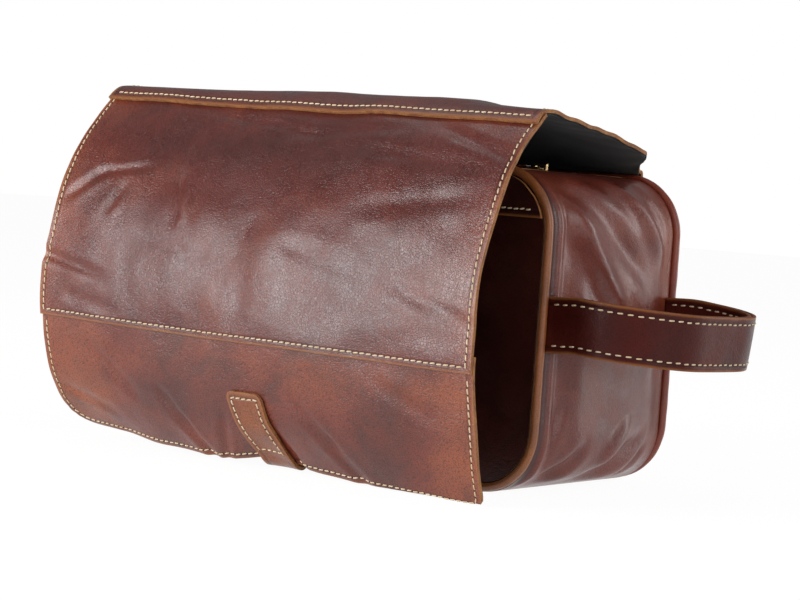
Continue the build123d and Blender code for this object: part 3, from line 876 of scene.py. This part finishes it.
def tab_face(u, s):
    """Outer face of the tab: on the bottom panel down to the hem, hooked under
    it, back along the underside and up in front of the pouch to the stud."""
    x = tab_centre(s) + u
    points = flap_front(x, np.minimum(s, TAB_BEGIN), -0.25)
    d = s - TAB_BEGIN
    past = d > 0
    if not past.any():
        return points
    x, d = x[past], d[past]
    begin = points[past]
    heading = np.radians(read_table(HEADING, x, np.full(len(x), TAB_BEGIN)))
    level = 0.8 + 0.7 * smooth(0, TAB_HOOK + TAB_RUN, d)
    goal = begin[:, 1] + 10.5
    w = np.clip(d / TAB_HOOK, 0, 1)
    y = (1 - w) ** 2 * begin[:, 1] + w ** 2 * goal \
        + 2 * w * (1 - w) * (begin[:, 1] + np.cos(heading) * 4.0)
    z = (1 - w) ** 2 * begin[:, 2] + 2 * w * (1 - w) * level + w ** 2 * level
    bend_y, bend_z, radius = TAB_BEND
    run = np.clip((d - TAB_HOOK) / TAB_RUN, 0, 1)
    y = y + (bend_y - goal) * run
    angle = np.clip((d - TAB_HOOK - TAB_RUN) / radius, 0, math.pi / 2)
    rise = np.maximum(d - TAB_HOOK - TAB_RUN - radius * math.pi / 2, 0)
    bent = d > TAB_HOOK + TAB_RUN
    y = np.where(bent, bend_y + radius * np.sin(angle), y)
    z = np.where(bent, bend_z - radius * np.cos(angle) + rise, z)
    points[past] = np.stack([x, y, z], 1)
    return points


def make_tab():
    """The closing tab in one piece, with rounded ends."""
    cols = lines(-TAB_HALF, TAB_HALF, 1.3)
    start, end, r = TAB_TOP, TAB_END, 4.0

    def shaped(u, s):
        inner = np.clip(np.maximum(start + r - s, s - end + r), 0, r)
        half = TAB_HALF - (r - np.sqrt(np.maximum(r * r - inner * inner, 0)))
        return tab_face(u / TAB_HALF * half, s)

    tip = np.array([0, 0.25, 0.7, 1.5, 2.6, 4.0])
    rows = np.concatenate([start + tip, np.arange(start + 5.4, end - 4.6, 1.2),
                           end - tip[::-1]])
    piece, u, s = lay_sheet("closure_tab_leather", cols, rows, shaped, turn=True)
    edge = np.minimum(TAB_HALF - np.abs(u), np.minimum(s - start, end - s))
    mark(piece, edge, 0.10 + 0.12 * waves(u, s, 14, 4.4))
    thicken(piece, LEATHER, (tab_leather, cut_edge, cut_edge), bevel=0.3)
    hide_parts("closure_tab_upper", "closure_tab_run", "closure_tab_end")
    inner = TAB_HALF - STITCH_IN
    seam = sew("closure_tab_stitches", tab_face,
               [[(-inner, HEM_AT - 7), (-inner, start + 3.2),
                 (inner, start + 3.2), (inner, HEM_AT - 7)],
                [(-inner + 1, HEM_AT - 8), (inner - 1, HEM_AT - 8)]], sign=-1)
    return piece, seam


# ------------------------------------------------------------ the pouch's shell
CORNER = 30.0
RING = (47.12, 98.0, 47.12, 210.0, 47.12, 98.0, 47.12)
RING_LENGTH = sum(RING)


RING_ARCS = {0: (105, 128, 90), 2: (105, 30, 0), 4: (-105, 30, -90),
             6: (-105, 128, 180)}
RING_STRAIGHTS = {1: ((135, 128), (0, -1), (1, 0)), 3: ((105, 0), (-1, 0), (0, -1)),
                  5: ((-135, 30), (0, 1), (-1, 0))}


def ring(p):
    """Outline of the pouch seen from the front: p runs from the top right end
    of the gusset down, along the base and up to the top left end."""
    return follow(np.clip(p, 0, RING_LENGTH), RING, CORNER, RING_STRAIGHTS, RING_ARCS)


GUSSET_FOLDS = (
    (16, -46, 66, 22, 8.5, 2.0), (36, -44, 84, 2, 8.0, -2.3),
    (8, -10, 54, 38, 7.0, -2.4), (12, 26, 50, 50, 6.5, 1.5),
    (92, -30, 104, 14, 12.0, -1.0), (164, -52, 132, -44, 3.8, 1.6),
    (168, -42, 150, -22, 4.2, 1.8), (170, -16, 148, 34, 5.5, 2.0),
    (158, -4, 140, 18, 5.0, -1.3), (172, 22, 152, 46, 4.5, 1.5),
    (430, -40, 455, 10, 5.0, 1.4), (560, -30, 528, 26, 6.0, -1.8),
    (566, 6, 540, 44, 5.0, 1.4), (440, 20, 470, 40, 4.0, 1.2),
)
GUSSET_STAINS = (
    (60, 50, 90, 10, 0.12), (150, 0, 20, 40, -0.08), (80, -20, 30, 14, -0.04),
    (96, 54, 70, 7, 0.12), (20, 0, 16, 40, -0.08),
)


def gusset_face(y, p):
    """The pouch wall: a turned lip beside the front piping, then a soft body."""
    x, z, nx, nz = ring(p)
    reach = WALL_HALF - np.abs(y)
    front = 1 - smooth(-30, 0, y)
    lip = smooth(2.6, 5.2, reach) * (1 - 0.85 * smooth(6.5, 12.0, reach)) * front
    roll = smooth(8.0, 30.0, reach) * front + smooth(1.5, 26.0, reach) * (1 - front)
    body = smooth(6, 50, reach)
    off_floor = 1 - smooth(0.55, 0.98, -nz)
    ends = smooth(0, 42, p) * smooth(0, 42, RING_LENGTH - p)
    swell = (2.6 * lip + 3.6 * roll + 2.0 * body) * off_floor * (0.05 + 0.95 * ends)
    folds = creases(p, y, GUSSET_FOLDS) + waves(p, y, 46, 2.6) \
        + waves(p, y, 17, 6.4) * 0.10
    swell = swell + folds * smooth(5, 20, reach) * off_floor * ends * 1.55
    swell = np.maximum(swell, 0.0)
    return np.stack([x + nx * swell, y, np.maximum(z + nz * swell, 0.0)], 1)


def make_gusset():
    """The pouch's wall in one length, open at the top."""
    half = WALL_HALF - 0.1
    edge_lines = np.arange(0, 18, 0.95)
    columns = np.concatenate([-half + edge_lines, np.linspace(-39, 39, 42),
                              half - edge_lines[::-1]])
    rows = np.concatenate([lines(0, 195, 1.9, fine_end=False)[:-1],
                           np.arange(195, 395, 4.0),
                           lines(399, RING_LENGTH, 2.2, fine_start=False)])
    piece, y, p = lay_sheet("gusset_leather", columns, rows, gusset_face, turn=True)
    edge = np.minimum(p, RING_LENGTH - p)
    # The tone drops by 0.8 within 2.2-4.4 mm of the front edge: painted shade in the
    # channel beside the front piping. The spots are stains.
    mark(piece, edge + 6, spots(p, y, GUSSET_STAINS)
         - 0.8 * (1 - smooth(2.2, 4.4, y + half)))
    thicken(piece, LEATHER - 0.1, (pouch_leather, cut_edge, pouch_lining), bevel=0.3)
    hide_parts("gusset")
    return piece


def panel_half_width(z):
    """Half the width of the front and back panels, round at their corners."""
    r, cx, low, high = 27.6, 105.1, 32.5, 128.0
    over = np.clip(z - high, 0, r)
    under = np.clip(low - z, 0, r)
    return cx + np.sqrt(np.maximum(r * r - over ** 2 - under ** 2, 0))


def panel_rows(low, high):
    """Lines up a panel, closer where its corners are round."""
    base = [low + h for h in (0, 0.15, 0.5, 1.2, 2.2, 3.6, 5.4, 7.6, 10.2)]
    count = int((high - base[-1]) / 2.6)
    return base + list(np.linspace(base[-1], high, count))[1:]


def panel(u, z, y):
    return np.stack([u * panel_half_width(z), y, z], 1)


def panel_calm(u, z):
    """0 where a panel is held by its seams, 1 where it is free to puff out."""
    return smooth(0, 14, PANEL_HALF * (1 - np.abs(u))) * smooth(4.9, 18, z)


def front_low(u, z):
    puff = waves(u * panel_half_width(z), z, 48, 8.8) * 0.5 + 0.3
    return panel(u, z, -61.0 - np.maximum(puff, 0) * panel_calm(u, z)
                 * (1 - smooth(118, 133, z)))


def front_high(u, z):
    return panel(u, z, np.full(len(u), FRONT_LAP))


def back(u, z):
    puff = np.maximum(waves(u * panel_half_width(z), z, 52, 11.8) * 0.8 + 0.8, 0)
    return panel(u, z, 61.0 + puff * (panel_calm(u, z) * (1 - smooth(134, 146, z))))


def make_panels():
    """Front panel in two lapped pieces, back panel, and the strips by the zip."""
    made = []
    columns = lines(-PANEL_HALF, PANEL_HALF, 2.8) / PANEL_HALF
    # On the front panels, the darker leather and the tone of -0.2 (dye) are painted
    # shade under the flap. The back panel has neither.
    plan = (("front_panel_lower_leather", front_low, 4.9, 143.0,
             "front_panel_lower", painted_shade_leather, -0.2),
            ("front_panel_upper_leather", front_high, 135.0, 155.5,
             "front_panel_upper", painted_shade_leather, -0.2),
            ("back_panel_leather", back, 4.9, 155.5,
             "back_panel", pouch_leather, 0.0))
    for name, face, low, high, node, skin, dye in plan:
        rows = np.array(panel_rows(low, high - 4.5)
                        + [high - h for h in (3.0, 1.8, 0.9, 0.35, 0)])
        piece, u, z = lay_sheet(name, columns, rows, face, turn=face is back)
        mark(piece, z - low if face is front_high else np.full(len(z), 20.0),
             waves(u * 132, z, 60, 3.1) * 0.08 + dye)
        stretch_uv(piece, PANEL_HALF)
        thicken(piece, LEATHER, (skin, cut_edge, pouch_lining), bevel=0.3)
        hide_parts(node)
        made.append(piece)
    made.append(sew("front_lap_stitches",
                    lambda x, z: np.stack([x, np.full(len(x), FRONT_LAP), z], 1),
                    [[(-126, 138.8), (126, 138.8)]]))

    for name, side, node in (("top_strip_front_leather", -1, "top_strip_front"),
                             ("top_strip_rear_leather", 1, "top_strip_rear")):
        def strip(x, y, side=side):
            reach = np.minimum(np.abs(y) - MOUTH_HALF, WALL_HALF - np.abs(y))
            crown = 0.5 * smooth(0, 12, reach) * (1 + 0.5 * waves(x, y, 40, side))
            return np.stack([x, y, POUCH_TOP + crown], 1)
        rows = lines(MOUTH_HALF, WALL_HALF, 2.6)
        rows = rows if side > 0 else -rows[::-1]
        piece, x, y = lay_sheet(name, lines(-104.7, 104.7, 2.8), rows, strip)
        mark(piece, np.abs(y) - MOUTH_HALF, waves(x, y, 50, 5.5) * 0.08)
        thicken(piece, LEATHER, (pouch_leather, cut_edge, pouch_lining), bevel=0.3)
        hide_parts(node)
        made.append(piece)
        made.append(sew(name.replace("leather", "stitches"), strip,
                        [[(-102, side * 12.6), (102, side * 12.6)]]))
    return made


def make_piping(name, y, node, finish):
    """Leather-covered cord round one face of the pouch."""
    cx, top, low, r = 105.1, POUCH_TOP, 2.5, CORNER
    quarter = r * math.pi / 2
    legs = (210.2, quarter, top - low - 2 * r, quarter) * 2
    arcs = {1: (cx, top - r, 90), 3: (cx, low + r, 0),
            5: (-cx, low + r, -90), 7: (-cx, top - r, 180)}
    straights = {0: ((-cx, top), (1, 0), (0, 1)),
                 2: ((cx + r, top - r), (0, -1), (1, 0)),
                 4: ((cx, low), (-1, 0), (0, -1)),
                 6: ((-cx - r, low + r), (0, 1), (-1, 0))}
    total = sum(legs)

    def tube(a, p):
        p = np.mod(p, total)
        x, z, nx, nz = follow(p, legs, r, straights, arcs)
        pinch = 0.10 * np.sin(p / 5.3) + 0.08 * np.sin(p / 2.1 + 1.3)
        radius = 2.25 + pinch * 0.6
        out = radius * np.cos(a)
        return np.stack([x + nx * out, y + radius * np.sin(a),
                         np.maximum(z + nz * out, 0.25)], 1)

    around = np.linspace(0, 2 * math.pi, 15)
    along = np.linspace(0, total, 421)
    piece, _, _ = lay_sheet(name, around, along, tube)
    edit_all(piece, lambda: bpy.ops.mesh.remove_doubles(threshold=0.02 * MM),
             lambda: bpy.ops.mesh.normals_make_consistent(inside=False))
    bpy.ops.object.shade_smooth()
    piece.data.materials.append(finish)
    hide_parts(node)
    return piece


# ------------------------------------------------------------------ the handle
HANDLE_START, HANDLE_FAR, HANDLE_DEEP, HANDLE_CORNER = 135.4, 199.0, 55.5, 38.0
HANDLE_PIVOT, HANDLE_DROOP = (150.0, 84.5), 4.0
STRAP_HALF, STRAP_STITCH_IN = 13.5, 3.6
HANDLE_SIDE = HANDLE_FAR - HANDLE_CORNER          # x where its corners begin
HANDLE_TURN = HANDLE_DEEP - HANDLE_CORNER         # y where they do
HANDLE_LEGS = (HANDLE_SIDE - HANDLE_START, HANDLE_CORNER * math.pi / 2,
               2 * HANDLE_TURN, HANDLE_CORNER * math.pi / 2,
               HANDLE_SIDE - HANDLE_START)
HANDLE_LENGTH = sum(HANDLE_LEGS)
HANDLE_STRAIGHTS = {0: ((HANDLE_START, -HANDLE_DEEP), (1, 0), (0, -1)),
                    2: ((HANDLE_FAR, -HANDLE_TURN), (0, 1), (1, 0)),
                    4: ((HANDLE_SIDE, HANDLE_DEEP), (-1, 0), (0, 1))}
HANDLE_ARCS = {1: (HANDLE_SIDE, -HANDLE_TURN, -90), 3: (HANDLE_SIDE, HANDLE_TURN, 0)}


def handle_face(p, v, side=1.0):
    """p runs along the strap from its front root, v is the height above its
    middle; side +1 is the outer ply's face, -1 the inner one's."""
    x, y, nx, ny = follow(p, HANDLE_LEGS, HANDLE_CORNER, HANDLE_STRAIGHTS,
                          HANDLE_ARCS, way=1)
    bulge = 0.25 * np.sin(p / 19.0) + 0.35 * (1 - (v / STRAP_HALF) ** 2)
    off = 1.95 * side + bulge * side * 0.5
    loose = smooth(0, 18, p) * smooth(0, 18, HANDLE_LENGTH - p)
    sway = 0.8 * np.sin(p / 31.0 + 0.6) * loose
    off = off + 0.04 * v * loose
    x, y = x + nx * off, y + ny * off
    z = HANDLE_PIVOT[1] + v + sway
    tilt = math.radians(HANDLE_DROOP) * smooth(140, 165, x)
    px, pz = HANDLE_PIVOT
    rx, rz = x - px, z - pz
    return np.stack([px + rx * np.cos(tilt) + rz * np.sin(tilt), y,
                     pz - rx * np.sin(tilt) + rz * np.cos(tilt)], 1)


def make_handle():
    """The carrying loop: an outer and an inner ply, each with its stitches."""
    rows = lines(-STRAP_HALF, STRAP_HALF, 1.4)
    columns = np.linspace(0, HANDLE_LENGTH, 150)
    line = STRAP_HALF - STRAP_STITCH_IN
    made = []
    for name, side, node, turn in (
            ("handle_outer_leather", 1.0,
             ("handle_outer", "handle_end_front", "handle_end_rear"), False),
            ("handle_inner_leather", -1.0, ("handle_inner",), True)):
        def face(p, v, side=side):
            return handle_face(p, v, side)
        piece, p, v = lay_sheet(name, columns, rows, face, turn=turn)
        mark(piece, STRAP_HALF - np.abs(v), waves(p, v, 30, 6.6) * 0.1)
        thicken(piece, LEATHER + 0.05, (strap_leather, strap_edge, strap_edge))
        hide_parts(*node)
        made.append(piece)
        made.append(sew(name.replace("leather", "stitches"), face,
                        [[(3, line), (HANDLE_LENGTH - 3, line)],
                         [(3, -line), (HANDLE_LENGTH - 3, -line)]],
                        pitch=5.0, sign=side, slant=4.0))
    return made


# ---------------------------------------------------------- putting it together
middle_group, hem_group = make_flap_front()
top_group = make_flap_top()
tab_piece, tab_seam = make_tab()
gusset = make_gusset()
panels = make_panels()
pipings = [make_piping("front_piping_leather", -60.0, "front_piping", piping_leather),
           make_piping("rear_piping_leather", 60.0, "rear_piping",
                       rear_piping_leather)]
handles = make_handle()

bpy.data.objects.remove(STITCH)
bpy.data.objects.remove(HOLE)

for piece in middle_group:
    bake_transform(piece)
for piece in (*hem_group, tab_seam):
    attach(piece, "flap_front")
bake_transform(tab_piece)
for piece in top_group:
    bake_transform(piece)
for piece in (gusset, *panels, *pipings):
    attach(piece, "bag")
for piece in handles:
    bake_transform(piece)

NODE_FINISH = {
    "zip_tape_front": zip_cloth, "zip_tape_rear": zip_cloth,
    "zip_teeth_front": brass, "zip_teeth_rear": brass, "zip_end_stops": brass,
    "zip_slider": brass, "zip_puller": brass, "stud_on_tab": brass,
    "stud_on_bag": brass, "zip_pull_tab": pull_leather,
    "lining_front": pouch_lining, "lining_back": pouch_lining,
    "lining_gusset": pouch_lining,
}
for node, finish in NODE_FINISH.items():
    slots = NODES[node].material_slots
    if slots:
        for slot in slots:
            slot.material = finish
    else:
        NODES[node].data.materials.append(finish)


# --------------------------------------------------------- floor, light, camera
FLOOR_GLOW, FLOOR_GLOW_SHARE = 1.06, 0.90    # the white that the floor shows
AMBIENT, GLOSSY_SHARE = 0.22, 0.05           # the world's light on the bag


def make_floor():
    bpy.ops.object.select_all(action="DESELECT")
    bpy.ops.mesh.primitive_plane_add(size=12.0, location=(0, 0, -0.0003))
    floor = bpy.context.object
    floor.name = "studio_floor"
    bpy.ops.object.transform_apply(location=True, rotation=True, scale=True)
    f = Finish("white_floor")
    f.set(Base_Color=(0.92, 0.92, 0.92), Roughness=0.9)
    ray = f.node("ShaderNodeLightPath").outputs
    glow = f.node("ShaderNodeEmission", {"Strength": FLOOR_GLOW}).outputs[0]
    seen = f.math("MAXIMUM", ray["Is Camera Ray"],
                  f.math("MAXIMUM", ray["Is Glossy Ray"], ray["Is Transmission Ray"]))
    share = f.math("MULTIPLY", seen, FLOOR_GLOW_SHARE)
    mix = f.node("ShaderNodeMixShader", {0: share, 1: f.shader.outputs[0], 2: glow})
    f.feed(f.tree.nodes["Material Output"].inputs[0], mix.outputs[0])
    floor.data.materials.append(f.material)


def soft_box(name, direction, distance, width, height, radiance):
    """A soft lamp aimed at the bag; radiance is its face's brightness."""
    lamp = bpy.data.lights.new(name, "AREA")
    lamp.shape = "RECTANGLE"
    lamp.size, lamp.size_y = width, height
    lamp.energy = radiance * math.pi * width * height
    holder = bpy.data.objects.new(name, lamp)
    bpy.context.scene.collection.objects.link(holder)
    towards = Vector(direction).normalized()
    holder.location = Vector((0, -0.04, 0.10)) + towards * distance
    holder.rotation_euler = towards.to_track_quat("Z", "Y").to_euler()


def make_world():
    """White to the camera and through glass, and a weak even light elsewhere."""
    world = bpy.data.worlds.new("pale_studio")
    bpy.context.scene.world = world
    world.use_nodes = True
    w = NodeTree(world.node_tree)
    back = w.tree.nodes["Background"]
    ray = w.node("ShaderNodeLightPath").outputs
    seen = w.math("MAXIMUM", ray["Is Camera Ray"], ray["Is Transmission Ray"])
    shine = w.math("MULTIPLY", ray["Is Glossy Ray"], GLOSSY_SHARE)
    back.inputs["Color"].default_value = (1, 1, 1, 1)
    w.feed(back.inputs["Strength"],
           w.math("MULTIPLY_ADD", w.math("MAXIMUM", seen, shine), 1.0 - AMBIENT,
                  AMBIENT))


def make_camera():
    """From the front right, nearly level, rolled a little."""
    azimuth, elevation, roll = (math.radians(a) for a in (36.75, 2.85, -4.11))
    back = Vector((math.sin(azimuth) * math.cos(elevation),
                   -math.cos(azimuth) * math.cos(elevation), math.sin(elevation)))
    right = Vector((math.cos(azimuth), math.sin(azimuth), 0))
    up = back.cross(right)
    rolled_right = right * math.cos(roll) - up * math.sin(roll)
    rolled_up = right * math.sin(roll) + up * math.cos(roll)
    target = Vector((0, 0, 0.104)) + rolled_right * 0.00247 - rolled_up * 0.01926
    data = bpy.data.cameras.new("studio_camera")
    data.lens, data.sensor_width = 103.9, 36.0
    data.clip_start, data.clip_end = 0.05, 50.0
    camera = bpy.data.objects.new("studio_camera", data)
    bpy.context.scene.collection.objects.link(camera)
    turn = Matrix((rolled_right, rolled_up, back)).transposed().to_4x4()
    turn.translation = target + back * 1.230
    camera.matrix_world = turn
    bpy.context.scene.camera = camera


make_floor()
make_world()
make_camera()
soft_box("front_left_box", (-0.44, -0.86, 0.20), 1.7, 0.84, 0.92, 9.6)
soft_box("overhead_box", (-0.40, 0.02, 0.92), 1.6, 0.42, 0.42, 2.6)
soft_box("rear_right_box", (0.62, 0.76, 0.22), 1.7, 0.5, 0.9, 4.0)
soft_box("right_fill_box", (0.93, -0.28, 0.30), 1.7, 0.9, 0.9, 3.0)
bpy.context.scene.view_settings.view_transform = "Standard"
